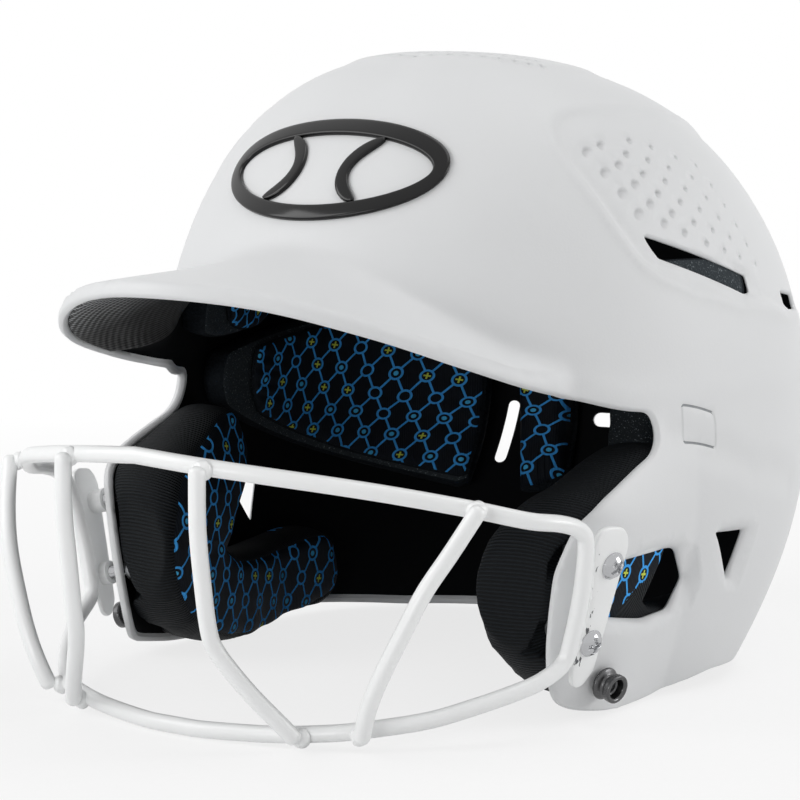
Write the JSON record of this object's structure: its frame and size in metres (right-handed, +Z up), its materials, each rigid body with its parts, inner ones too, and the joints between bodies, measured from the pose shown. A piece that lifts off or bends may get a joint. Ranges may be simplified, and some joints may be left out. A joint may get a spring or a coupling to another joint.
{
  "type": "softball batting helmet",
  "caption": "Batting helmet with a short brim, ear flaps, padded inside and a bolted wire face guard; snap studs take a chin strap.",
  "frame": {"origin": "middle of the bounding box, on the table that the helmet stands on", "axes": "+Z up, -Y the front of the helmet, +X the wearer's left"},
  "size_m": [0.2294, 0.307, 0.2135],
  "materials": {
    "shell": "satin moulded plastic, fine grain",
    "brim_lining": "woven black lining",
    "badge": "gloss black",
    "dark_foam": "speckled dark foam under thin knit",
    "speckled_foam": "cut closed-cell foam, speckled",
    "ear_knit": "ribbed black knit with a printed face",
    "printed_cloth": "navy knit printed with a blue lattice",
    "guard_coating": "white powder coat on steel",
    "spacer_plastic": "white moulded plastic",
    "screw_chrome": "bright plated",
    "nut_steel": "zinc plated",
    "stud_metal": "dark plated"
  },
  "bodies": {
    "root": {"outer_shell": "shell", "brim_liner": "brim_lining", "front_badge": "badge", "forehead_pad": "dark_foam", "crown_pad": "dark_foam", "nape_pad": "dark_foam", "left_temple_foam": "speckled_foam", "right_temple_foam": "speckled_foam", "left_temple_pad": "printed_cloth", "right_temple_pad": "printed_cloth", "left_side_foam": "speckled_foam", "right_side_foam": "speckled_foam", "left_side_pad": "printed_cloth", "right_side_pad": "printed_cloth", "left_rear_pad": "ear_knit", "right_rear_pad": "ear_knit", "left_ear_pad": "ear_knit", "right_ear_pad": "ear_knit", "guard_rim_wire": "guard_coating", "guard_left_centre_bar": "guard_coating", "guard_right_centre_bar": "guard_coating", "guard_left_outer_bar": "guard_coating", "guard_right_outer_bar": "guard_coating", "guard_left_plate": "guard_coating", "guard_right_plate": "guard_coating", "guard_spacers": "spacer_plastic", "guard_screws": "screw_chrome", "guard_nuts": "nut_steel", "left_strap_stud": "stud_metal", "right_strap_stud": "stud_metal", "stud_backs": "stud_metal"}
  },
  "joints": []
}
